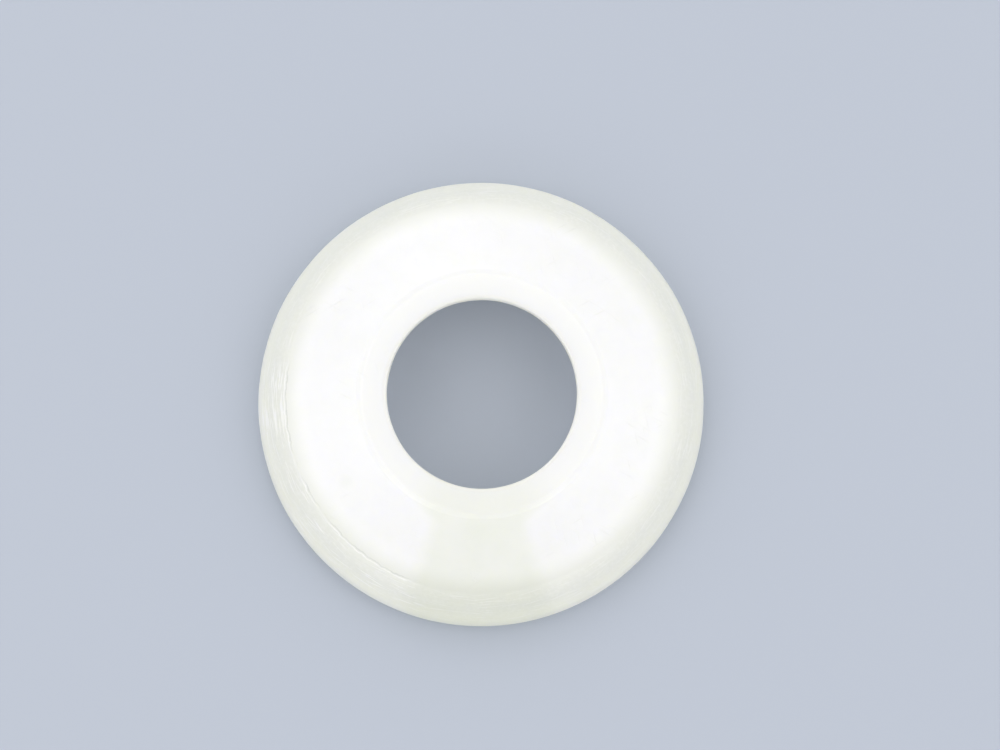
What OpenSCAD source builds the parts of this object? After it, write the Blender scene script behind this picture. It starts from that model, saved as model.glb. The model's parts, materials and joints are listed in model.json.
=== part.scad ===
// Thick moulded washer: one ring of milky translucent plastic with a raised land round the bore,
// a sloping crown, a round shoulder, a flat underside and a bore that widens below its short wall.
// Millimetres, +Z up. The origin is the middle of the flat underside, on the axis of the bore.

/* [Ring] */
// Outside diameter, at the widest place just above the underside
outside_d = 25; // [21:0.1:30]
// Diameter of the bore at its narrowest, which is what a bolt passes through
bore_d = 10.2; // [6:0.1:13]
// Height of the ring, from the underside to the land round the bore
thickness = 5; // [4:0.1:7]

/* [Land round the bore] */
// Radial width of the land, from the bore wall to the top of the land's sloping edge
land_w = 1.35; // [0.8:0.05:1.8]
// Height of the land above the crown that starts at its foot
land_h = 0.2; // [0.1:0.05:0.4]
// Radial width of the land's sloping edge
land_edge_w = 0.3; // [0.1:0.05:0.4]

/* [Crown and shoulder] */
// Slope of the crown between the land and the shoulder, in degrees
crown_slope = 17; // [10:1:20]
// Radial width of the round shoulder, from the crease at its top to the outside
shoulder_w = 1.8; // [1.4:0.1:2.2]
// Radius of the edge between the outside and the underside
foot_r = 0.7; // [0.3:0.1:0.8]

/* [Bore] */
// Radius of the lip where the bore meets the land
lip_r = 0.15; // [0.1:0.05:0.5]
// Length of the straight wall of the bore, below the lip
wall_l = 0.5; // [0.4:0.1:1.2]
// How much wider in radius the bore is at the underside than at its straight wall
flare_w = 1.2; // [0.6:0.1:1.6]
// Radius of the edge between the flare and the underside
mouth_r = 0.25; // [0.1:0.05:0.4]

/* [Hidden] */
$fn = 180;

// How far a cutting outline reaches past the ring
clear = 1;

outside_r = outside_d / 2;
bore_r = bore_d / 2;

// The land ends at land_r. Its sloping edge ends at crown_r, where the crown starts.
land_r = bore_r + land_w;
crown_r = land_r + land_edge_w;
crown_z = thickness - land_h;

// Height of the crown at any radius, and the crease where it meets the shoulder
function crown_height(r) = crown_z - (r - crown_r) * tan(crown_slope);
crease_r = outside_r - shoulder_w;
crease_z = crown_height(crease_r);

// The shoulder is one arc: upright where it meets the foot edge, and through the crease at its top.
shoulder_rise = crease_z - foot_r;
shoulder_r = (shoulder_w * shoulder_w + shoulder_rise * shoulder_rise) / (2 * shoulder_w);

// Radius at which that arc is parallel to the crown, and so stands highest above it
parallel_r = outside_r - shoulder_r * (1 - sin(crown_slope));

// The bore's straight wall ends at wall_z, and the flare runs from there down to flare_r.
wall_z = thickness - lip_r - wall_l;
flare_r = bore_r + flare_w;
flare_angle = atan(flare_w / wall_z);

// The mouth edge touches the underside at mouth_end_r and the slanting flare at mouth_z.
mouth_end_r = flare_r + mouth_r * (1 - sin(flare_angle)) / cos(flare_angle);
mouth_z = mouth_r * (1 - sin(flare_angle));

// Half section of the ring before its round edges and its bore are cut
module blank_outline() {
    polygon([
        [0, 0],
        [outside_r, 0],
        [outside_r, crown_height(outside_r)],
        [crown_r, crown_z],
        [land_r, thickness],
        [0, thickness]
    ]);
}

// What the round shoulder leaves outside it
module shoulder_cut() {
    difference() {
        translate([parallel_r, foot_r])
            square([outside_r - parallel_r + clear, thickness]);
        translate([outside_r - shoulder_r, foot_r])
            circle(r = shoulder_r);
    }
}

// What the round foot edge leaves outside it
module foot_cut() {
    difference() {
        translate([outside_r - foot_r, -clear])
            square([foot_r + clear, foot_r + clear]);
        translate([outside_r - foot_r, foot_r])
            circle(r = foot_r);
    }
}

// Round lip at the top of the bore
module lip_cut() {
    difference() {
        translate([0, thickness - lip_r])
            square([bore_r + lip_r, lip_r + clear]);
        translate([bore_r + lip_r, thickness - lip_r])
            circle(r = lip_r);
    }
}

// Round mouth at the foot of the flare
module mouth_cut() {
    difference() {
        translate([0, -clear])
            square([mouth_end_r, mouth_z + clear]);
        translate([mouth_end_r, mouth_r])
            circle(r = mouth_r);
    }
}

// Straight wall and flare of the bore
module bore_cut() {
    polygon([
        [0, 0],
        [flare_r, 0],
        [bore_r, wall_z],
        [bore_r, thickness],
        [0, thickness]
    ]);
}

// The whole ring, turned about the axis of the bore
module washer_ring() {
    color("#eef0e6")
        rotate_extrude()
            difference() {
                blank_outline();
                shoulder_cut();
                foot_cut();
                bore_cut();
                lip_cut();
                mouth_cut();
            }
}

washer_ring();
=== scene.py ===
# %% [markdown]
# # A thick moulded washer
# This notebook dresses one small part: a 25 mm ring of milky, translucent plastic with a hole
# through its middle. The frame below holds the engineering model, and everything made here takes
# its sizes from it. The ring is a single moulding, so there is one visible piece to make, and the
# work goes into its form, its worn surface and the way light sinks into it.

# %% Load the frame
import json
import math
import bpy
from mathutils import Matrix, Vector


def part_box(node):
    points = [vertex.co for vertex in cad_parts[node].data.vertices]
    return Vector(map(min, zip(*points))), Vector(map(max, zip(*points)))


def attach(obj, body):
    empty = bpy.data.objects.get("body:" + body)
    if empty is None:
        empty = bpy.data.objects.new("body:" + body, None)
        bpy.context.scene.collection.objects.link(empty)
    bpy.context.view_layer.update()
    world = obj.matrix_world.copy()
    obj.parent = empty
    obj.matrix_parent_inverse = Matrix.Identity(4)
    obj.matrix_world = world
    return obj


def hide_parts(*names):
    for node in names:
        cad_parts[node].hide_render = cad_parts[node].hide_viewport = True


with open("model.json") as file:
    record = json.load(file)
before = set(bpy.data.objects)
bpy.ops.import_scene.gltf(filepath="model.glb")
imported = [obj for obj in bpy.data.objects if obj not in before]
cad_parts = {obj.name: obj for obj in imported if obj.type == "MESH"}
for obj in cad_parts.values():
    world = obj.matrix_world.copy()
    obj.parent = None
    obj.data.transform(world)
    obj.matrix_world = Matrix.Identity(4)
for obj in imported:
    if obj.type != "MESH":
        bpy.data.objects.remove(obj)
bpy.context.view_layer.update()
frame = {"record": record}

from types import SimpleNamespace

import bpy
from mathutils import Vector

# %% [markdown]
# ## Sizes
# A washer's section is drawn once and turned about its axis, so all that is needed is the
# section. The overall sizes and the bore are read from the frame. The few that the frame doesn't
# state, such as the slope of the crown, are given here in millimetres, because that is how a
# maker thinks of a part this small.

# %% Read the driving sizes
MM = 0.001
low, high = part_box("washer_ring")
bore_mount = next(m for m in frame["record"]["mounts"] if m["name"] == "bore")

outside_r = (high.x - low.x) / 2 / MM
thickness = (high.z - low.z) / MM
bore_r = bore_mount["dims"]["r_mm"]
wall_l = bore_mount["dims"]["length_mm"]
wall_z = bore_mount["pos_m"][2] / MM - wall_l / 2
lip_r = thickness - wall_z - wall_l

land_w, land_h, land_edge_w = 1.35, 0.2, 0.3
crown_slope = math.radians(17)
shoulder_w, foot_r = 1.8, 0.7
flare_w, mouth_r = 1.2, 0.25
print(f"outside radius {outside_r:.2f}, thickness {thickness:.2f}, bore radius {bore_r:.2f} mm")

# %% [markdown]
# ## The section
# Straight lines between a few corners, each corner rounded by its own radius, describe a moulded
# section exactly as a toolmaker would. The round shoulder is simply the largest rounding: its
# corner is where the tangent at the crease meets the upright outside.

# %% Corners of the half section
land_r = bore_r + land_w
crown_r = land_r + land_edge_w
crown_z = thickness - land_h
crease_r = outside_r - shoulder_w
crease_z = crown_z - (crease_r - crown_r) * math.tan(crown_slope)
shoulder_rise = crease_z - foot_r
shoulder_r = (shoulder_w**2 + shoulder_rise**2) / (2 * shoulder_w)
crease_tangent = math.asin((shoulder_r - shoulder_w) / shoulder_r)
knee_z = crease_z - shoulder_w * math.tan(crease_tangent)

# A rounding that took the whole of its side would leave no room for its neighbour. The foot
# shares the upright outside with the far larger shoulder, so it gives way a little more.
ROOM = 0.99
FOOT_ROOM = 0.97
# soft roundings that a moulding has where the engineering model is sharp, in millimetres
WALL_FOOT_ROUNDING, LAND_RIM_ROUNDING, LAND_FOOT_ROUNDING = 0.5, 0.2, 0.25
# name, radius from the axis, height, rounding, points in the rounding
CORNERS = [
    ("Mouth", bore_r + flare_w, 0.0, mouth_r, 6),
    ("Wall foot", bore_r, wall_z, WALL_FOOT_ROUNDING, 4),
    ("Lip", bore_r, thickness, lip_r * ROOM, 6),
    ("Land rim", land_r, thickness, LAND_RIM_ROUNDING, 4),
    ("Land foot", crown_r, crown_z, LAND_FOOT_ROUNDING, 4),
    ("Crease", crease_r, crease_z, 0.0, 1),
    ("Shoulder", outside_r, knee_z, shoulder_r * ROOM, 40),
    ("Foot", outside_r, 0.0, foot_r * FOOT_ROOM, 10),
]
print(f"crease at radius {crease_r:.2f} and height {crease_z:.2f} mm")

# %% [markdown]
# ## One helper for every node
# Materials and shapes below are both made of nodes. Adding a node always takes the same three
# steps: make it, set its options, fill its inputs. One small function does all three, and an
# input may be given a plain value or another node to be joined to.

# %% Add a node with its settings and links
def add(tree, kind, inputs=None, **settings):
    """Adds one node. Inputs are named, or numbered from 0, and take a value, a node or a socket."""
    made = tree.nodes.new(kind)
    for name, value in settings.items():
        setattr(made, name, value)
    for key, value in (inputs or {}).items():
        if isinstance(key, int):
            socket = made.inputs[key]
        else:
            socket = next(s for s in made.inputs if s.enabled and key in (s.name, s.identifier))
        if isinstance(value, bpy.types.Node):
            value = next(s for s in value.outputs if s.enabled)
        if isinstance(value, bpy.types.NodeSocket):
            tree.links.new(value, socket)
        else:
            socket.default_value = value
    return made


print("every node below is added by", add.__name__)

# %% [markdown]
# ## Where the ring is worn
# The crease between crown and shoulder stands proud, so it is rubbed first, and here it is scuffed
# along one stretch. The same places are used twice, once to move the mesh and once to tint the
# plastic, so they are named here. Angles run anticlockwise from +X, seen from above.

# %% Worn stretch of the crease
WORN_MIDDLE = math.radians(212)
WORN_HALF = math.radians(46)
WORN_FADE = math.radians(10)
# Small places knocked or rubbed on the crown: x, y and reach, in millimetres
KNOCK = (-7.2, -4.7, 0.55)
RUBBED = [(6.0, 7.2, 2.6), (4.9, -6.8, 1.6)]
print(f"the worn stretch is {2 * WORN_HALF * crease_r:.1f} mm long")


def angle_from(tree, x, y, middle):
    """Angle round the axis in radians, counted from a given one, with its jump opposite it."""
    turned = add(
        tree,
        "ShaderNodeVectorRotate",
        {"Vector": add(tree, "ShaderNodeCombineXYZ", {"X": x, "Y": y}), "Angle": -middle},
        rotation_type="Z_AXIS",
    )
    parts = add(tree, "ShaderNodeSeparateXYZ", {"Vector": turned})
    return add(
        tree, "ShaderNodeMath", {0: parts.outputs["Y"], 1: parts.outputs["X"]}, operation="ARCTAN2"
    )


def worn_stretch(tree, x, y):
    """One in the worn stretch, fading at both ends, and the angle from its middle."""
    angle = angle_from(tree, x, y, WORN_MIDDLE)
    off = add(tree, "ShaderNodeMath", {0: angle}, operation="ABSOLUTE")
    worn = add(
        tree,
        "ShaderNodeMapRange",
        {"Value": off, "From Min": WORN_HALF, "From Max": WORN_HALF - WORN_FADE},
        interpolation_type="SMOOTHSTEP",
    )
    return worn, angle


def near_place(tree, x, y, place):
    """One at the middle of a small place on the top and nothing beyond its reach."""
    middle_x, middle_y, reach = place
    away = add(
        tree,
        "ShaderNodeVectorMath",
        {0: add(tree, "ShaderNodeCombineXYZ", {"X": x, "Y": y}), 1: (middle_x, middle_y, 0)},
        operation="DISTANCE",
    )
    return add(
        tree,
        "ShaderNodeMapRange",
        {"Value": away.outputs["Value"], "From Min": reach, "From Max": 0.0},
        interpolation_type="SMOOTHSTEP",
    )


# %% [markdown]
# ## Colours
# Colours are written as they would be picked on a screen and turned to the linear values that a
# shader calculates with. Natural nylon is nearly white in a thick place. The grey-green of the
# thinner shoulder is painted shade, and a few other colours below are painted shade and light too.

# %% Colours
def linear(hex_colour):
    """An sRGB hex colour as the linear colour that a shader wants."""
    channels = [int(hex_colour[i : i + 2], 16) / 255 for i in (1, 3, 5)]
    return [c / 12.92 if c <= 0.04045 else ((c + 0.055) / 1.055) ** 2.4 for c in channels] + [1.0]


MILK = linear("#fafaf8")
CLOUD = linear("#f6f7f3")
# greyer shoulder: painted shade where the shoulder turns from the light, in the thin plastic's
# grey-green
SHOULDER_PAINTED_SHADE = linear("#e5e6df")
# lighter foot: painted light, as if light came through the thin edge
FOOT_PAINTED_LIGHT = linear("#f2f2e4")
SCUFF = linear("#fdfdfb")
# grey for real scratches and the knock, and for the painted shadow along the crease
GRIME_AND_CREASE_SHADE = linear("#d3d5cf")
# duller land: painted shade
LAND_PAINTED_SHADE = linear("#f5f5f2")
WARM_LIP = linear("#f5f4ea")
# darker yellow of the painted dark reflection on the -Y side
DARK_REFLECTION_TINT = linear("#f7f8f4")
PAPER = linear("#bcc3cf")
print("milk", [round(c, 3) for c in MILK], "band", [round(c, 3) for c in SHOULDER_PAINTED_SHADE])

# %% [markdown]
# ## Milky nylon, moulded satin
# Nylon in its natural colour is milky because its crystals scatter the light that enters it. The
# light sinks in for a millimetre or two before it comes out again, so the ring glows softly and
# its edges never look painted: that is subsurface scattering. The finish is built up in steps: the
# colour of the plastic, with painted shade and painted light laid on by radius, the marks that use
# has left, with a painted shadow along the crease, a painted dark reflection on one side, and the
# satin skin over it all. Each step is laid out by the place on the ring, in millimetres. Noise
# gives most marks their shape. Every pair of numbers named for noise below holds the two values
# of the noise between which an effect runs from one end to the other, so a higher pair leaves
# fewer marks.

# %% Where a shaded place is on the ring
# distances beyond the crease at which the shoulder's marks start and are complete, in millimetres
SHOULDER_FADE = (-0.2, 0.25)


def ring_place(tree):
    """The measures of a shaded place that every step of the finish is laid out by."""
    at = SimpleNamespace()
    coordinates = add(tree, "ShaderNodeTexCoord")
    at.place = add(
        tree,
        "ShaderNodeVectorMath",
        {"Vector": coordinates.outputs["Object"], "Scale": 1 / MM},
        operation="SCALE",
    )
    parts = add(tree, "ShaderNodeSeparateXYZ", {"Vector": at.place})
    at.x, at.y = parts.outputs["X"], parts.outputs["Y"]
    at.flat = add(tree, "ShaderNodeVectorMath", {0: at.place, 1: (1, 1, 0)}, operation="MULTIPLY")
    length = add(tree, "ShaderNodeVectorMath", {0: at.flat}, operation="LENGTH")
    at.radius = length.outputs["Value"]
    at.worn, at.angle = worn_stretch(tree, at.x, at.y)
    at.arc = add(tree, "ShaderNodeMath", {0: at.angle, 1: crease_r}, operation="MULTIPLY")
    # distance down the slope: it grows outwards on the crown and downwards on the steep side
    at.slope = add(
        tree, "ShaderNodeMath", {0: at.radius, 1: parts.outputs["Z"]}, operation="SUBTRACT"
    )
    at.shoulder = add(
        tree,
        "ShaderNodeMapRange",
        {
            "Value": at.radius,
            "From Min": crease_r + SHOULDER_FADE[0],
            "From Max": crease_r + SHOULDER_FADE[1],
        },
        interpolation_type="SMOOTHSTEP",
    )
    return at


print(f"the finish is laid out over radii from {bore_r:.2f} to {outside_r:.2f} mm")

# %% [markdown]
# ## Colour of the plastic
# Where the ring is thick it is nearly white. The shoulder is painted greyer, in the grey-green of
# thin plastic: this is painted shade, where it is thinner and turns from the light towards the
# bench. The very foot is painted lighter again, as painted light coming through the thin edge,
# and the land is painted a little duller, as painted shade. The lip of the bore is warmer, as
# nylon goes where it is handled most. Each tint starts and ends at a stated radius and fades in
# between, because a moulding has no painted edges. A slow clouding keeps the white from being one
# flat colour, and pale flecks about a fifth of a millimetre across show where the shoulder's skin
# is scraped.

# %% Colour by radius
# radius where the tint starts, radius where it is complete, tint; the land, shoulder and foot
# tints are painted shade and painted light
TINTS_AND_PAINTED_LIGHT = [
    # the land row paints shade
    (crown_r + 0.1, land_r, LAND_PAINTED_SHADE),
    # the shoulder row paints shade
    (crease_r - 1.2, crease_r + 0.4, SHOULDER_PAINTED_SHADE),
    # the foot row paints light
    (outside_r - 1.1, outside_r - 0.2, FOOT_PAINTED_LIGHT),
    (bore_r + 0.3, bore_r + 0.05, WARM_LIP),
]
# noise cells to the millimetre
CLOUD_FINENESS, FLECK_FINENESS = 0.45, 5.0
CLOUD_NOISE = (0.35, 0.7)
FLECK_NOISE = (0.44, 0.66)
# how white a fleck is
FLECK_STRENGTH = 0.13


def plastic_colour(tree, at):
    """Milk with faint clouds, the tints over it, some of them painted shade and light, and pale
    flecks on the shoulder.
    """
    clouding = add(
        tree,
        "ShaderNodeTexNoise",
        {"Vector": at.place, "Scale": CLOUD_FINENESS, "Detail": 4.0},
    )
    clouds = add(
        tree,
        "ShaderNodeMapRange",
        {"Value": clouding, "From Min": CLOUD_NOISE[0], "From Max": CLOUD_NOISE[1]},
    )
    colour = add(
        tree,
        "ShaderNodeMix",
        {"Factor": clouds, "A_Color": MILK, "B_Color": CLOUD},
        data_type="RGBA",
    )
    for start, end, tint in TINTS_AND_PAINTED_LIGHT:
        reached = add(
            tree,
            "ShaderNodeMapRange",
            {"Value": at.radius, "From Min": start, "From Max": end},
            interpolation_type="SMOOTHSTEP",
        )
        colour = add(
            tree,
            "ShaderNodeMix",
            {"Factor": reached, "A_Color": colour, "B_Color": tint},
            data_type="RGBA",
        )
    flecks = add(
        tree,
        "ShaderNodeTexNoise",
        {"Vector": at.place, "Scale": FLECK_FINENESS, "Detail": 3.0},
    )
    fleck = add(
        tree,
        "ShaderNodeMapRange",
        {
            "Value": flecks,
            "From Min": FLECK_NOISE[0],
            "From Max": FLECK_NOISE[1],
            "To Max": FLECK_STRENGTH,
        },
    )
    fleck = add(tree, "ShaderNodeMath", {0: fleck, 1: at.shoulder}, operation="MULTIPLY")
    return add(
        tree,
        "ShaderNodeMix",
        {"Factor": fleck, "A_Color": colour, "B_Color": SCUFF},
        data_type="RGBA",
    )


for start, end, tint in TINTS_AND_PAINTED_LIGHT:
    print(f"tint from radius {start:.2f} to {end:.2f} mm:", [round(c, 2) for c in tint[:3]])

# %% [markdown]
# ## Scuffed crease
# Bench and fingers rub the crease first. The plastic there is stretched and torn into tiny voids,
# which scatter light and show as a broken white line. A thin grey line on its crown side is painted
# shadow, the shade beside the crease and its burr. Both wander a few hundredths of a millimetre,
# since nothing rubs along a true circle.

# %% Two lines along the crease
# radius of the middle, half width, strength
WHITE_LINE = (crease_r + 0.02, 0.05, 0.75)
# the grey line is painted shadow on the crown side of the crease
CREASE_SHADOW_LINE = (crease_r - 0.08, 0.05, 0.8)
# how far the lines stray to each side, in millimetres, and how often to the millimetre
LINE_WANDER, WANDER_FINENESS = 0.05, 2.0
WANDER_NOISE = (0.3, 0.7)
# where the lines are broken off
BREAK_FINENESS = 0.55
BREAK_NOISE = (0.32, 0.54)


def crease_lines(tree, at):
    """The white scuff line and the grey line of painted shadow, both broken, and only where the
    crease is worn.
    """
    ragged = add(
        tree,
        "ShaderNodeTexNoise",
        {"Vector": at.place, "Scale": WANDER_FINENESS, "Detail": 4.0},
    )
    wander = add(
        tree,
        "ShaderNodeMapRange",
        {
            "Value": ragged,
            "From Min": WANDER_NOISE[0],
            "From Max": WANDER_NOISE[1],
            "To Min": -LINE_WANDER,
            "To Max": LINE_WANDER,
        },
    )
    ridge = add(tree, "ShaderNodeMath", {0: at.radius, 1: wander}, operation="ADD")
    broken = add(
        tree,
        "ShaderNodeTexNoise",
        {"Vector": at.place, "Scale": BREAK_FINENESS, "Detail": 5.0},
    )
    present = add(
        tree,
        "ShaderNodeMapRange",
        {"Value": broken, "From Min": BREAK_NOISE[0], "From Max": BREAK_NOISE[1]},
    )
    present = add(tree, "ShaderNodeMath", {0: present, 1: at.worn}, operation="MULTIPLY")
    lines = []
    for middle, width, strength in (WHITE_LINE, CREASE_SHADOW_LINE):
        off = add(tree, "ShaderNodeMath", {0: ridge, 1: middle}, operation="SUBTRACT")
        off = add(tree, "ShaderNodeMath", {0: off}, operation="ABSOLUTE")
        line = add(
            tree,
            "ShaderNodeMapRange",
            {"Value": off, "From Min": width, "From Max": 0.0, "To Max": strength},
            interpolation_type="SMOOTHSTEP",
        )
        lines.append(add(tree, "ShaderNodeMath", {0: line, 1: present}, operation="MULTIPLY"))
    return lines


print(f"white line {2 * WHITE_LINE[1]:.2f} mm wide, grey line {2 * CREASE_SHADOW_LINE[1]:.2f} mm wide")

# %% [markdown]
# ## Hairlines on the shoulder
# Fine scratches run along the shoulder, since it slides round on the bench, and slant a little up
# or down it. Noise stretched along the crease and squeezed across it gives such hairs. Three
# layers with different slants keep them from looking ruled. They crowd at one end of the worn
# stretch, where the ring was dragged.

# %% Three slants of hairline
# slope of the hairs against the crease, seed
HAIR_LAYERS = [(0.16, 3.0), (-0.10, 11.0), (0.0, 23.0)]
# noise cells to the millimetre, along a hair and across it
HAIR_STRETCH, HAIR_SQUEEZE = 0.5, 6.0
HAIR_NOISE = (0.64, 0.72)
# share of the hairs that lies beyond the worn stretch
HAIRS_ELSEWHERE = 0.45
# where the crowding starts and is complete, from the middle of the worn stretch
DRAGGED_START = math.radians(-14)
DRAGGED_FULL = math.radians(-26)
# what crowding adds to the noise
CROWDING = 0.06


def hairlines(tree, at):
    """Hairs on the shoulder: crowded at the dragged end, fewer beyond the worn stretch."""
    amount = add(tree, "ShaderNodeMapRange", {"Value": at.worn, "To Min": HAIRS_ELSEWHERE})
    amount = add(tree, "ShaderNodeMath", {0: at.shoulder, 1: amount}, operation="MULTIPLY")
    dragged = add(
        tree,
        "ShaderNodeMapRange",
        {"Value": at.angle, "From Min": DRAGGED_START, "From Max": DRAGGED_FULL},
        interpolation_type="SMOOTHSTEP",
    )
    dragged = add(tree, "ShaderNodeMath", {0: dragged, 1: at.worn}, operation="MULTIPLY")
    crowding = add(tree, "ShaderNodeMath", {0: dragged, 1: CROWDING}, operation="MULTIPLY")
    along = add(tree, "ShaderNodeMath", {0: at.arc, 1: HAIR_STRETCH}, operation="MULTIPLY")
    hairs = None
    for slant, seed in HAIR_LAYERS:
        leaning = add(tree, "ShaderNodeMath", {0: at.arc, 1: slant}, operation="MULTIPLY")
        leaning = add(tree, "ShaderNodeMath", {0: leaning, 1: at.slope}, operation="ADD")
        across = add(tree, "ShaderNodeMath", {0: leaning, 1: HAIR_SQUEEZE}, operation="MULTIPLY")
        combed = add(tree, "ShaderNodeCombineXYZ", {"X": along, "Y": across, "Z": seed})
        noise = add(tree, "ShaderNodeTexNoise", {"Vector": combed, "Scale": 1.0, "Detail": 1.0})
        noise = add(tree, "ShaderNodeMath", {0: noise, 1: crowding}, operation="ADD")
        layer = add(
            tree,
            "ShaderNodeMapRange",
            {"Value": noise, "From Min": HAIR_NOISE[0], "From Max": HAIR_NOISE[1]},
        )
        if hairs is not None:
            layer = add(tree, "ShaderNodeMath", {0: hairs, 1: layer}, operation="MAXIMUM")
        hairs = layer
    return add(tree, "ShaderNodeMath", {0: hairs, 1: amount}, operation="MULTIPLY")


print(f"hairs about {0.5 / HAIR_SQUEEZE:.2f} mm across, in {len(HAIR_LAYERS)} slants")

# %% [markdown]
# ## Handling marks on the crown
# Keys, bolts and other washers leave short straight scratches on the crown. They come in patches,
# where something once rubbed, so they appear only where a slow noise is high or near the places
# named earlier.

# %% Straight marks in patches
# direction of the marks in radians, seed
MARK_LAYERS = [(0.5, 5.0), (1.3, 7.0), (2.6, 13.0)]
# noise cells to the millimetre, along a mark and across it
MARK_STRETCH, MARK_SQUEEZE = 0.6, 7.0
MARK_NOISE = (0.70, 0.84)
# patches in which the marks lie
PATCH_FINENESS = 0.33
PATCH_NOISE = (0.56, 0.66)


def handling_marks(tree, at):
    """Short straight scratches on the crown, in patches."""
    patches = add(
        tree,
        "ShaderNodeTexNoise",
        {"Vector": at.flat, "Scale": PATCH_FINENESS, "Detail": 1.0},
    )
    patch = add(
        tree,
        "ShaderNodeMapRange",
        {"Value": patches, "From Min": PATCH_NOISE[0], "From Max": PATCH_NOISE[1]},
    )
    for rubbed in RUBBED:
        spot = near_place(tree, at.x, at.y, rubbed)
        patch = add(tree, "ShaderNodeMath", {0: patch, 1: spot}, operation="MAXIMUM")
    crown = add(tree, "ShaderNodeMath", {0: 1.0, 1: at.shoulder}, operation="SUBTRACT")
    patch = add(tree, "ShaderNodeMath", {0: patch, 1: crown}, operation="MULTIPLY")
    marks = None
    for turn, seed in MARK_LAYERS:
        laid = add(tree, "ShaderNodeMapping", {"Vector": at.flat, "Rotation": (0, 0, turn)})
        combed = add(
            tree,
            "ShaderNodeVectorMath",
            {0: laid, 1: (MARK_STRETCH, MARK_SQUEEZE, 1.0), 2: (0, 0, seed)},
            operation="MULTIPLY_ADD",
        )
        noise = add(tree, "ShaderNodeTexNoise", {"Vector": combed, "Scale": 1.0, "Detail": 0.0})
        layer = add(
            tree,
            "ShaderNodeMapRange",
            {"Value": noise, "From Min": MARK_NOISE[0], "From Max": MARK_NOISE[1]},
        )
        if marks is not None:
            layer = add(tree, "ShaderNodeMath", {0: marks, 1: layer}, operation="MAXIMUM")
        marks = layer
    return add(tree, "ShaderNodeMath", {0: marks, 1: patch}, operation="MULTIPLY")


print("handling marks lie in", len(MARK_LAYERS), "directions")

# %% [markdown]
# ## Painted dark reflection
# One sector of the ring, on its -Y side, is painted darker and yellower than the rest: it is the
# painted dark reflection of somebody standing on that side. It crosses the crown between two
# straight edges and spreads on the land.

# %% A sector of painted dark reflection
REFLECTION_MIDDLE = math.radians(-91)
# half the width of the sector and half the width of its soft edges, on the land and on the crown
REFLECTION_HALF_LAND = math.radians(31)
REFLECTION_HALF_CROWN = math.radians(19)
REFLECTION_FADE_LAND = math.radians(14)
REFLECTION_FADE_CROWN = math.radians(4)
# radial width in which the painted reflection narrows from the land to the crown, in millimetres
REFLECTION_NARROWING = 0.9


def painted_dark_reflection(tree, at):
    """One in the sector of painted dark reflection and nothing outside it."""
    angle = angle_from(tree, at.x, at.y, REFLECTION_MIDDLE)
    off = add(tree, "ShaderNodeMath", {0: angle}, operation="ABSOLUTE")
    widths = []
    for on_land, on_crown in (
        (REFLECTION_HALF_LAND, REFLECTION_HALF_CROWN),
        (REFLECTION_FADE_LAND, REFLECTION_FADE_CROWN),
    ):
        width = add(
            tree,
            "ShaderNodeMapRange",
            {
                "Value": at.radius,
                "From Min": land_r,
                "From Max": land_r + REFLECTION_NARROWING,
                "To Min": on_land,
                "To Max": on_crown,
            },
            interpolation_type="SMOOTHSTEP",
        )
        widths.append(width)
    half, fade = widths
    inside = add(tree, "ShaderNodeMath", {0: half, 1: off}, operation="SUBTRACT")
    share = add(tree, "ShaderNodeMath", {0: inside, 1: fade}, operation="DIVIDE")
    return add(
        tree,
        "ShaderNodeMapRange",
        {"Value": share, "From Min": -1.0, "From Max": 1.0},
        interpolation_type="SMOOTHSTEP",
    )


# the printed smear is the painted dark reflection
print(f"the smear is {2 * REFLECTION_HALF_CROWN * crease_r:.1f} mm wide at the crease")

# %% [markdown]
# ## Satin skin
# The mould was blasted with grit, so the plastic took a fine grain and reflects softly: satin,
# between matte and gloss. A slow swelling under the grain, called orange peel, comes from the
# plastic shrinking. Torn places are rougher than the skin and lie a little below it. The grain is
# drawn at 0.12 mm, coarser than the real 0.05 mm or so, because it would not show otherwise.

# %% Roughness and relief
# lowest and highest roughness of the skin, which follows its slow swelling
SATIN = (0.30, 0.38)
TORN_ROUGHNESS = 0.6
# depth of each relief in millimetres, and how strongly it shows
GRAIN, PEEL, TORN = (0.006, 0.35), (0.03, 0.5), (-0.02, 0.6)
# noise cells to the millimetre
GRAIN_FINENESS, PEEL_FINENESS = 8.0, 1.3
PEEL_NOISE = (0.3, 0.7)


def satin_skin(tree, at, torn):
    """Roughness and relief of the skin, given how torn it is."""
    grain, peel = (
        add(tree, "ShaderNodeTexNoise", {"Vector": at.place, "Scale": fineness, "Detail": 2.0})
        for fineness in (GRAIN_FINENESS, PEEL_FINENESS)
    )
    roughness = add(
        tree,
        "ShaderNodeMapRange",
        {
            "Value": peel,
            "From Min": PEEL_NOISE[0],
            "From Max": PEEL_NOISE[1],
            "To Min": SATIN[0],
            "To Max": SATIN[1],
        },
    )
    roughness = add(
        tree,
        "ShaderNodeMix",
        {"Factor": torn, "A_Float": roughness, "B_Float": TORN_ROUGHNESS},
        data_type="FLOAT",
    )
    relief = None
    for height, (depth, strength) in ((grain, GRAIN), (peel, PEEL), (torn, TORN)):
        inputs = {"Height": height, "Strength": strength, "Distance": depth * MM}
        if relief is not None:
            inputs["Normal"] = relief
        relief = add(tree, "ShaderNodeBump", inputs)
    return roughness, relief


print(f"skin roughness {SATIN[0]} to {SATIN[1]}, torn places {TORN_ROUGHNESS}")

# %% [markdown]
# ## The steps together
# White marks and grey marks are two masks laid over the plastic's colour. The grey holds the
# painted shadow along the crease as well as real marks. The painted dark reflection multiplies the
# colour, as it only takes light away, and the torn places drive the skin as well. Light reaches
# about a millimetre and a half into the plastic, a little less for blue, which leaves the depth
# faintly warm.

# %% Milky nylon
# how white the hairs are, and how grey the marks and the knock
HAIR_WHITE = 0.55
MARK_GREY = 0.14
KNOCK_GREY = 0.1
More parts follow.
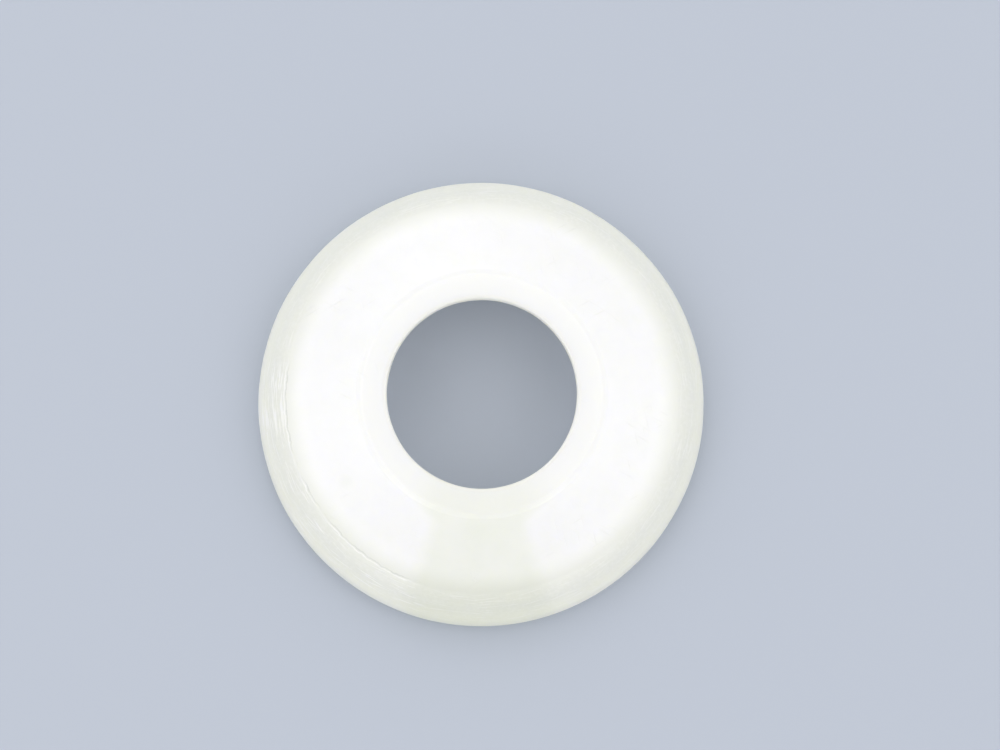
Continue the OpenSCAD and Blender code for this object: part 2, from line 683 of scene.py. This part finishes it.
# how deep light goes, in millimetres, and the share of that for red, green and blue
LIGHT_REACH = 1.6
REACH_BY_COLOUR = (1.0, 1.0, 0.85)
NYLON_IOR = 1.53
# gloss, above the shader's usual 0.5 because handling has polished the skin
SKIN_GLOSS = 0.8


def milky_nylon():
    """Natural nylon, injection moulded: milky depth under a satin skin, with its wear, painted
    shade and a painted dark reflection.
    """
    material = bpy.data.materials.new("natural nylon, moulded satin")
    material.use_nodes = True
    tree = material.node_tree
    tree.nodes.clear()
    at = ring_place(tree)
    white_line, crease_shadow_line = crease_lines(tree, at)
    hairs = hairlines(tree, at)
    marks = handling_marks(tree, at)

    # the painted dark reflection darkens one sector of the colour
    colour = add(
        tree,
        "ShaderNodeMix",
        {"Factor": painted_dark_reflection(tree, at), "A_Color": plastic_colour(tree, at), "B_Color": DARK_REFLECTION_TINT},
        data_type="RGBA",
        blend_type="MULTIPLY",
    )
    whitened = add(tree, "ShaderNodeMath", {0: hairs, 1: HAIR_WHITE}, operation="MULTIPLY")
    whitened = add(tree, "ShaderNodeMath", {0: whitened, 1: white_line}, operation="MAXIMUM")
    # the greying holds real scratch grey and the painted shadow along the crease
    greyed_and_crease_shade = add(tree, "ShaderNodeMath", {0: marks, 1: MARK_GREY}, operation="MULTIPLY")
    greyed_and_crease_shade = add(tree, "ShaderNodeMath", {0: greyed_and_crease_shade, 1: crease_shadow_line}, operation="MAXIMUM")
    knock = near_place(tree, at.x, at.y, KNOCK)
    smudge = add(tree, "ShaderNodeMath", {0: knock, 1: KNOCK_GREY}, operation="MULTIPLY")
    greyed_and_crease_shade = add(tree, "ShaderNodeMath", {0: greyed_and_crease_shade, 1: smudge}, operation="MAXIMUM")
    for amount, tint in ((whitened, SCUFF), (greyed_and_crease_shade, GRIME_AND_CREASE_SHADE)):
        colour = add(
            tree,
            "ShaderNodeMix",
            {"Factor": amount, "A_Color": colour, "B_Color": tint},
            data_type="RGBA",
        )

    torn = add(tree, "ShaderNodeMath", {0: hairs, 1: marks}, operation="MAXIMUM")
    torn = add(tree, "ShaderNodeMath", {0: torn, 1: white_line}, operation="MAXIMUM")
    roughness, relief = satin_skin(tree, at, torn)
    shader = add(
        tree,
        "ShaderNodeBsdfPrincipled",
        {
            "Base Color": colour,
            "Roughness": roughness,
            "IOR": NYLON_IOR,
            "Specular IOR Level": SKIN_GLOSS,
            "Normal": relief,
            "Subsurface Weight": 1.0,
            "Subsurface Radius": REACH_BY_COLOUR,
            "Subsurface Scale": LIGHT_REACH * MM,
        },
        subsurface_method="RANDOM_WALK",
    )
    add(tree, "ShaderNodeOutputMaterial", {"Surface": shader})
    return material


nylon = milky_nylon()
print("nodes in the nylon material:", len(nylon.node_tree.nodes))

# %% [markdown]
# ## The ring, from its section
# A lathe or a mould makes a washer by turning one outline about an axis, and Geometry Nodes can
# do the same. The corners become a curve, Fillet Curve rounds each corner by its own radius, and
# Curve to Mesh sweeps the result along a circle. Its inputs are the sizes, so another washer is a
# matter of other numbers. The alternative, a Screw modifier on a drawn outline, gives the same
# form but keeps no named sizes.

# %% Inputs of the ring tree
def new_input(tree, name, kind, value):
    """Gives a tree a named input with its usual value."""
    tree.interface.new_socket(name, in_out="INPUT", socket_type=kind).default_value = value


STEPS_AROUND = 640
WEAR_SEED = 4.0
# the rest is in millimetres. Spacing of the mesh's points where they are seen and where not
FINE_SPACING, COARSE_SPACING = 0.13, 0.45
SINK_DEPTH, SINK_SPREAD = 0.03, 4.0
BURR_HEIGHT, BURR_WIDTH = 0.045, 0.22
DENT_DEPTH, DENT_SPACING = 0.05, 2.4


def ring_inputs(tree):
    """The sizes of the section, then the fineness of the mesh, then the wear."""
    for name, r, z, rounding, points in CORNERS:
        new_input(tree, f"{name} radius", "NodeSocketFloat", r)
        new_input(tree, f"{name} height", "NodeSocketFloat", z)
        new_input(tree, f"{name} rounding", "NodeSocketFloat", rounding)
        new_input(tree, f"{name} points", "NodeSocketInt", points)
    new_input(tree, "Path radius", "NodeSocketFloat", (bore_r + outside_r) / 2)
    new_input(tree, "Steps around", "NodeSocketInt", STEPS_AROUND)
    for name, value in (
        ("Fine spacing", FINE_SPACING),
        ("Coarse spacing", COARSE_SPACING),
        ("Sink depth", SINK_DEPTH),
        ("Sink spread", SINK_SPREAD),
        ("Burr height", BURR_HEIGHT),
        ("Burr width", BURR_WIDTH),
        ("Dent depth", DENT_DEPTH),
        ("Dent spacing", DENT_SPACING),
        ("Seed", WEAR_SEED),
    ):
        new_input(tree, name, "NodeSocketFloat", value)


print("inputs for the section:", 4 * len(CORNERS), "and steps around:", STEPS_AROUND)

# %% Corners joined and rounded
def by_corner(tree, index, kind, sockets):
    """One value for each corner, picked by the number of the point."""
    switch = add(tree, "GeometryNodeIndexSwitch", {"Index": index}, data_type=kind)
    while len(switch.index_switch_items) < len(sockets):
        switch.index_switch_items.new()
    for number, socket in enumerate(sockets):
        tree.links.new(socket, switch.inputs[number + 1])
    return switch


def rounded_section(tree, size, index):
    """The half section as a closed curve, rounded at its corners. X is outward and -Y is up."""
    places = []
    for name, *_ in CORNERS:
        out = add(
            tree,
            "ShaderNodeMath",
            {0: size[f"{name} radius"], 1: size["Path radius"]},
            operation="SUBTRACT",
        )
        height = size[f"{name} height"]
        down = add(tree, "ShaderNodeMath", {0: height, 1: -1.0}, operation="MULTIPLY")
        places.append(add(tree, "ShaderNodeCombineXYZ", {"X": out, "Y": down}).outputs[0])
    placed = add(
        tree,
        "GeometryNodeSetPosition",
        {
            "Geometry": add(tree, "GeometryNodeMeshLine", {"Count": len(CORNERS)}),
            "Position": by_corner(tree, index, "VECTOR", places),
        },
    )
    line = add(tree, "GeometryNodeMeshToCurve", {"Mesh": placed})
    loop = add(tree, "GeometryNodeSetSplineCyclic", {"Geometry": line, "Cyclic": True})
    points = [size[f"{name} points"] for name, *_ in CORNERS]
    roundings = [size[f"{name} rounding"] for name, *_ in CORNERS]
    return add(
        tree,
        "GeometryNodeFilletCurve",
        {
            "Curve": loop,
            "Count": by_corner(tree, index, "INT", points),
            "Radius": by_corner(tree, index, "FLOAT", roundings),
            "Limit Radius": True,
        },
        mode="POLY",
    )


print("corners in order:", ", ".join(name for name, *_ in CORNERS))

# %% [markdown]
# ## Even points along the section
# Rounding leaves points crowded in the corners and none between them, and wear can only move a
# place that has a point. So each straight stretch is cut into even steps, fine where the surface
# is seen and coarse underneath and in the bore, which keeps the mesh light.

# %% Points along the straight stretches
# the foot counts as seen from this share of its height up
FOOT_SEEN = 0.5


def section_curve(tree, size):
    """The rounded section with even steps along its straight stretches."""
    index = add(tree, "GeometryNodeInputIndex")
    rounded = rounded_section(tree, size, index)
    here = add(tree, "GeometryNodeInputPosition")
    count = add(tree, "GeometryNodeAttributeDomainSize", {"Geometry": rounded}, component="CURVE")
    following = add(tree, "ShaderNodeMath", {0: index, 1: 1.0}, operation="ADD")
    wrapped = add(
        tree, "ShaderNodeMath", {0: following, 1: count.outputs["Point Count"]}, operation="MODULO"
    )
    ahead = add(
        tree,
        "GeometryNodeFieldAtIndex",
        {"Value": here, "Index": wrapped},
        data_type="FLOAT_VECTOR",
        domain="POINT",
    )
    length = add(tree, "ShaderNodeVectorMath", {0: here, 1: ahead}, operation="DISTANCE")
    middle = add(
        tree,
        "ShaderNodeMix",
        {"Factor": 0.5, "A_Vector": here, "B_Vector": ahead},
        data_type="VECTOR",
    )
    parts = add(tree, "ShaderNodeSeparateXYZ", {"Vector": middle})
    out = add(
        tree, "ShaderNodeMath", {0: parts.outputs["X"], 1: size["Path radius"]}, operation="ADD"
    )
    outside = add(
        tree, "ShaderNodeMath", {0: out, 1: size["Mouth radius"]}, operation="GREATER_THAN"
    )
    above = add(
        tree,
        "ShaderNodeMath",
        {0: parts.outputs["Y"], 1: -FOOT_SEEN * foot_r},
        operation="LESS_THAN",
    )
    outer_side = add(tree, "ShaderNodeMath", {0: outside, 1: above}, operation="MULTIPLY")
    top = add(tree, "ShaderNodeMath", {0: parts.outputs["Y"], 1: -wall_z}, operation="LESS_THAN")
    seen = add(tree, "ShaderNodeMath", {0: outer_side, 1: top}, operation="MAXIMUM")
    spacing = add(
        tree,
        "ShaderNodeMix",
        {"Factor": seen, "A_Float": size["Coarse spacing"], "B_Float": size["Fine spacing"]},
        data_type="FLOAT",
    )
    steps = add(
        tree, "ShaderNodeMath", {0: length.outputs["Value"], 1: spacing}, operation="DIVIDE"
    )
    cuts = add(tree, "ShaderNodeMath", {0: steps}, operation="FLOOR")
    return add(tree, "GeometryNodeSubdivideCurve", {"Curve": rounded, "Cuts": cuts})


print(f"steps of {FINE_SPACING} mm where seen and {COARSE_SPACING} mm elsewhere")

# %% [markdown]
# ## Wear and moulding marks in the mesh
# A moulded ring is never quite true. Thick plastic shrinks as it cools, so broad sinks a few
# hundredths of a millimetre deep are left in its top, and handling leaves small dents. Where the
# crease was knocked along the bench a burr stands up. All three move the surface along its own
# normal, and fade to nothing at the underside, which stays flat because the washer bears on it.

# %% Sinks and dents
# a sink is deepest where the noise is lowest
SINK_NOISE = (0.25, 0.75)
# share of the scattered cells that hold a dent
DENT_SHARE = 0.28
# distances from the middle of a cell where its bowl starts and where it is deepest, in cells
BOWL = (0.22, 0.02)


def sinks(tree, size, here):
    """Broad shallow hollows, from nothing down to the sink depth."""
    fineness = add(tree, "ShaderNodeMath", {0: 1.0, 1: size["Sink spread"]}, operation="DIVIDE")
    swell = add(
        tree,
        "ShaderNodeTexNoise",
        {"Vector": here, "W": size["Seed"], "Scale": fineness, "Detail": 1.0},
        noise_dimensions="4D",
    )
    sink = add(
        tree,
        "ShaderNodeMapRange",
        {
            "Value": swell,
            "From Min": SINK_NOISE[0],
            "From Max": SINK_NOISE[1],
            "To Min": -1.0,
            "To Max": 0.0,
        },
    )
    return add(tree, "ShaderNodeMath", {0: sink, 1: size["Sink depth"]}, operation="MULTIPLY")


def dents(tree, size, here, x, y):
    """Small bowls in about one cell in four of a random scatter, and the one named knock."""
    closeness = add(tree, "ShaderNodeMath", {0: 1.0, 1: size["Dent spacing"]}, operation="DIVIDE")
    scatter = add(
        tree,
        "ShaderNodeTexVoronoi",
        {"Vector": here, "W": size["Seed"], "Scale": closeness, "Randomness": 1.0},
        voronoi_dimensions="4D",
    )
    pick = add(tree, "ShaderNodeSeparateXYZ", {"Vector": scatter.outputs["Color"]})
    picked = add(
        tree,
        "ShaderNodeMath",
        {0: pick.outputs["X"], 1: 1 - DENT_SHARE},
        operation="GREATER_THAN",
    )
    bowl = add(
        tree,
        "ShaderNodeMapRange",
        {"Value": scatter.outputs["Distance"], "From Min": BOWL[0], "From Max": BOWL[1]},
        interpolation_type="SMOOTHSTEP",
    )
    dent = add(tree, "ShaderNodeMath", {0: bowl, 1: picked}, operation="MULTIPLY")
    knock = near_place(tree, x, y, KNOCK)
    dent = add(tree, "ShaderNodeMath", {0: dent, 1: knock}, operation="MAXIMUM")
    return add(tree, "ShaderNodeMath", {0: dent, 1: size["Dent depth"]}, operation="MULTIPLY")


print(f"sinks {SINK_DEPTH} mm deep at most, dents {DENT_DEPTH} mm")

# %% Burr on the crease
BURR_FINENESS = 0.9
BURR_NOISE = (0.35, 0.65)
# where the burr is broken it dips below the surface by this share of its height
BURR_DIP = 0.3


def burr(tree, size, here, radius, worn):
    """A low bead along the worn crease, broken along its length and dipping here and there."""
    off = add(tree, "ShaderNodeMath", {0: radius, 1: size["Crease radius"]}, operation="SUBTRACT")
    off = add(tree, "ShaderNodeMath", {0: off}, operation="ABSOLUTE")
    bead = add(
        tree,
        "ShaderNodeMapRange",
        {"Value": off, "From Min": size["Burr width"], "From Max": 0.0},
        interpolation_type="SMOOTHSTEP",
    )
    ragged = add(
        tree,
        "ShaderNodeTexNoise",
        {"Vector": here, "W": size["Seed"], "Scale": BURR_FINENESS, "Detail": 2.0},
        noise_dimensions="4D",
    )
    ragged = add(
        tree,
        "ShaderNodeMapRange",
        {
            "Value": ragged,
            "From Min": BURR_NOISE[0],
            "From Max": BURR_NOISE[1],
            "To Min": -BURR_DIP,
            "To Max": 1.0,
        },
    )
    raised = add(tree, "ShaderNodeMath", {0: bead, 1: worn}, operation="MULTIPLY")
    raised = add(tree, "ShaderNodeMath", {0: raised, 1: ragged}, operation="MULTIPLY")
    return add(tree, "ShaderNodeMath", {0: raised, 1: size["Burr height"]}, operation="MULTIPLY")


print(f"burr {BURR_HEIGHT} mm high at most and {2 * BURR_WIDTH:.2f} mm wide")

# %% Height of the wear at each place on the surface
# heights between which the wear grows from nothing to full, in millimetres
WEAR_FROM, WEAR_FULL = 0.3, 1.2


def worn_height(tree, size):
    """How far each point moves along its normal, in millimetres."""
    here = add(tree, "GeometryNodeInputPosition")
    parts = add(tree, "ShaderNodeSeparateXYZ", {"Vector": here})
    x, y = parts.outputs["X"], parts.outputs["Y"]
    flat = add(tree, "ShaderNodeVectorMath", {0: here, 1: (1, 1, 0)}, operation="MULTIPLY")
    radius = add(tree, "ShaderNodeVectorMath", {0: flat}, operation="LENGTH").outputs["Value"]
    worn, _ = worn_stretch(tree, x, y)
    height = add(
        tree,
        "ShaderNodeMath",
        {0: sinks(tree, size, here), 1: dents(tree, size, here, x, y)},
        operation="SUBTRACT",
    )
    raised = burr(tree, size, here, radius, worn)
    height = add(tree, "ShaderNodeMath", {0: height, 1: raised}, operation="ADD")
    lifted = add(
        tree,
        "ShaderNodeMapRange",
        {"Value": parts.outputs["Z"], "From Min": WEAR_FROM, "From Max": WEAR_FULL},
        interpolation_type="SMOOTHSTEP",
    )
    return add(tree, "ShaderNodeMath", {0: height, 1: lifted}, operation="MULTIPLY")


print(f"wear moves the surface by at most {SINK_DEPTH + DENT_DEPTH:.2f} mm")

# %% [markdown]
# ## The whole tree
# The rounded section is swept round a circle that runs through the middle of the ring, the wear
# pushes the surface in or out, and millimetres become metres last, so that every size above could
# be written in millimetres. The tree ends with real geometry and its one material.

# %% The whole ring tree
def ring_tree():
    """Sweeps the section round the axis, wears its surface and gives it its material."""
    tree = bpy.data.node_groups.new("washer section turned about its axis", "GeometryNodeTree")
    tree.interface.new_socket("Mesh", in_out="OUTPUT", socket_type="NodeSocketGeometry")
    ring_inputs(tree)
    size = add(tree, "NodeGroupInput").outputs
    path = add(
        tree,
        "GeometryNodeCurvePrimitiveCircle",
        {"Resolution": size["Steps around"], "Radius": size["Path radius"]},
        mode="RADIUS",
    )
    upright = add(tree, "GeometryNodeSetCurveNormal", {"Curve": path}, mode="Z_UP")
    turned = add(
        tree,
        "GeometryNodeCurveToMesh",
        {"Curve": upright, "Profile Curve": section_curve(tree, size)},
    )
    push = add(
        tree,
        "ShaderNodeVectorMath",
        {"Vector": add(tree, "GeometryNodeInputNormal"), "Scale": worn_height(tree, size)},
        operation="SCALE",
    )
    aged = add(tree, "GeometryNodeSetPosition", {"Geometry": turned, "Offset": push})
    metres = add(tree, "GeometryNodeTransform", {"Geometry": aged, "Scale": (MM, MM, MM)})
    smooth = add(tree, "GeometryNodeSetShadeSmooth", {"Geometry": metres})
    joined = add(tree, "GeometryNodeRealizeInstances", {"Geometry": smooth})
    finished = add(tree, "GeometryNodeSetMaterial", {"Geometry": joined, "Material": nylon})
    add(tree, "NodeGroupOutput", {0: finished})
    return tree


section_tree = ring_tree()
print("nodes in the ring tree:", len(section_tree.nodes))

# %% [markdown]
# ## From nodes to a plain mesh
# Other programs can't run Geometry Nodes, so the result is turned into an ordinary mesh and the
# modifier is thrown away. The volume is a quick test of the outcome: it is positive only if every
# face points outwards, and it should be close to the engineering model's.

# %% Run a tree and keep its mesh
def plain_mesh(name, tree, values):
    """Runs a tree with these inputs and returns the result as a plain mesh object."""
    carrier = bpy.data.objects.new(name + " carrier", bpy.data.meshes.new("empty"))
    bpy.context.scene.collection.objects.link(carrier)
    modifier = carrier.modifiers.new("ring", "NODES")
    modifier.node_group = tree
    identifiers = {s.name: s.identifier for s in tree.interface.items_tree if s.in_out == "INPUT"}
    for key, value in values.items():
        modifier[identifiers[key]] = value
    evaluated = carrier.evaluated_get(bpy.context.evaluated_depsgraph_get())
    mesh = bpy.data.meshes.new_from_object(evaluated)
    mesh.name = name
    carrier.modifiers.remove(modifier)
    bpy.data.objects.remove(carrier)
    piece = bpy.data.objects.new(name, mesh)
    bpy.context.scene.collection.objects.link(piece)
    return piece


def volume_mm3(mesh):
    """Volume inside a closed mesh, from the tetrahedra between its triangles and the origin."""
    mesh.calc_loop_triangles()
    total = 0.0
    for triangle in mesh.loop_triangles:
        a, b, c = (mesh.vertices[i].co for i in triangle.vertices)
        total += a.dot(b.cross(c)) / 6
    return total / MM**3


ring = plain_mesh("washer_body", section_tree, {"Steps around": STEPS_AROUND, "Seed": WEAR_SEED})
print(f"volume {volume_mm3(ring.data):.1f} mm3, {len(ring.data.loop_triangles)} triangles")

# %% The ring rides on the washer's one body and stands for its engineering solid
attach(ring, "root")
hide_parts("washer_ring")
print(ring.name, "stands for washer_ring")

# %% [markdown]
# ## Paper, light and camera
# Small translucent parts are shown best on plain matte paper under a bright, even sky, as in a
# light tent: hard lamps would burn out the milky surface. One patch of the tent is darker, as it
# is where somebody stands, and that soft dark reflection is what shows the slope of the crown.

# %% Paper floor
PAPER_ROUGHNESS = 0.9


def paper():
    """Uncoated studio paper: matte and plain, so that only the ring is looked at."""
    material = bpy.data.materials.new("studio paper, uncoated")
    material.use_nodes = True
    tree = material.node_tree
    shader = tree.nodes["Principled BSDF"]
    shader.inputs["Base Color"].default_value = PAPER
    shader.inputs["Roughness"].default_value = PAPER_ROUGHNESS
    return material


HALF_SHEET = 1.5
BELOW_RING = 0.01 * MM
floor_mesh = bpy.data.meshes.new("floor")
quarters = ((-1, -1), (1, -1), (1, 1), (-1, 1))
sheet = [(x * HALF_SHEET, y * HALF_SHEET, -BELOW_RING) for x, y in quarters]
floor_mesh.from_pydata(sheet, [], [(0, 1, 2, 3)])
floor = bpy.data.objects.new("floor", floor_mesh)
floor_mesh.materials.append(paper())
bpy.context.scene.collection.objects.link(floor)
print(f"sheet of paper {2 * HALF_SHEET:.0f} m square")

# %% Soft lights
def compass(bearing, height, distance):
    """A place at a bearing clockwise from +Y and a height above the floor, both in degrees."""
    b, h = math.radians(bearing), math.radians(height)
    return Vector((math.cos(h) * math.sin(b), math.cos(h) * math.cos(b), math.sin(h))) * distance


def softbox(name, place, size, power):
    """A soft rectangular lamp that faces the ring. Size in metres, power in watts."""
    lamp = bpy.data.lights.new(name, "AREA")
    lamp.shape = "RECTANGLE"
    lamp.size, lamp.size_y = size
    lamp.energy = power
    box = bpy.data.objects.new(name, lamp)
    box.location = place
    box.rotation_mode = "QUATERNION"
    box.rotation_quaternion = (-place).to_track_quat("-Z", "Y")
    bpy.context.scene.collection.objects.link(box)


BOX_DISTANCE = 0.45
# name, bearing and height in degrees, size in metres, power in watts
SOFTBOXES = [
    ("window", -15, 50, (0.24, 0.18), 0.10),
    ("west wall", -95, 50, (0.24, 0.18), 0.08),
    ("east wall", 95, 50, (0.24, 0.18), 0.08),
    ("near corner, west", -145, 30, (0.18, 0.18), 0.08),
    ("near corner, east", 145, 30, (0.18, 0.18), 0.05),
]
for name, bearing, height, size, power in SOFTBOXES:
    softbox(name, compass(bearing, height, BOX_DISTANCE), size, power)

# %% Light tent
SKY = linear("#fdfdfe")
SKY_STRENGTH, DARK_STRENGTH = 1.06, 0.0
DARK_BEARING, DARK_HEIGHT = 180, 68
# the patch is about twice as long, from the middle of the sky down, as it is wide
DARK_SQUEEZE = (1.5, 0.7, 0.7)
# squeezed distances from the patch's middle where the dark ends and where the full sky begins
DARK_EDGE = (0.26, 0.42)


def light_tent():
    """An even sky with one dark patch, high on the -Y side."""
    world = bpy.data.worlds.new("light tent")
    world.use_nodes = True
    tree = world.node_tree
    tree.nodes.clear()
    direction = add(tree, "ShaderNodeTexCoord").outputs["Generated"]
    patch = compass(DARK_BEARING, DARK_HEIGHT, 1.0)
    away = add(tree, "ShaderNodeVectorMath", {0: direction, 1: patch}, operation="SUBTRACT")
    shaped = add(tree, "ShaderNodeVectorMath", {0: away, 1: DARK_SQUEEZE}, operation="MULTIPLY")
    spread = add(tree, "ShaderNodeVectorMath", {0: shaped}, operation="LENGTH")
    level = add(
        tree,
        "ShaderNodeMapRange",
        {
            "Value": spread.outputs["Value"],
            "From Min": DARK_EDGE[0],
            "From Max": DARK_EDGE[1],
            "To Min": DARK_STRENGTH,
            "To Max": SKY_STRENGTH,
        },
        interpolation_type="SMOOTHSTEP",
    )
    sky = add(tree, "ShaderNodeBackground", {"Color": SKY, "Strength": level})
    add(tree, "ShaderNodeOutputWorld", {"Surface": sky})
    return world


bpy.context.scene.world = light_tent()
bpy.context.scene.view_settings.view_transform = "Standard"
print("sky:", bpy.context.scene.world.name)

# %% [markdown]
# ## Camera
# The camera looks down on the ring from 85 mm away, about seven degrees off its axis towards -Y.
# From that close the rim of the bore, which stands nearer than the outside edge, is drawn a little
# larger and a little off centre, and that is what shows how thick the ring is.

# %% Camera
# lens and sensor in millimetres, as on any camera
lens, sensor = 54.0, 36.0
tilt, turn = math.radians(7.24), math.radians(-0.98)
distance = 84.6 * MM
aim = Vector((1.036, 1.494, 0.7)) * MM
cam_data = bpy.data.cameras.new("camera")
cam_data.lens, cam_data.sensor_width = lens, sensor
cam_data.clip_start, cam_data.clip_end = 0.001, 5.0
camera = bpy.data.objects.new("camera", cam_data)
camera.rotation_euler = (tilt, turn, 0)
camera.location = aim + camera.rotation_euler.to_matrix() @ Vector((0, 0, distance))
bpy.context.scene.collection.objects.link(camera)
bpy.context.scene.camera = camera
print("camera at", [round(v, 4) for v in camera.location], "metres")
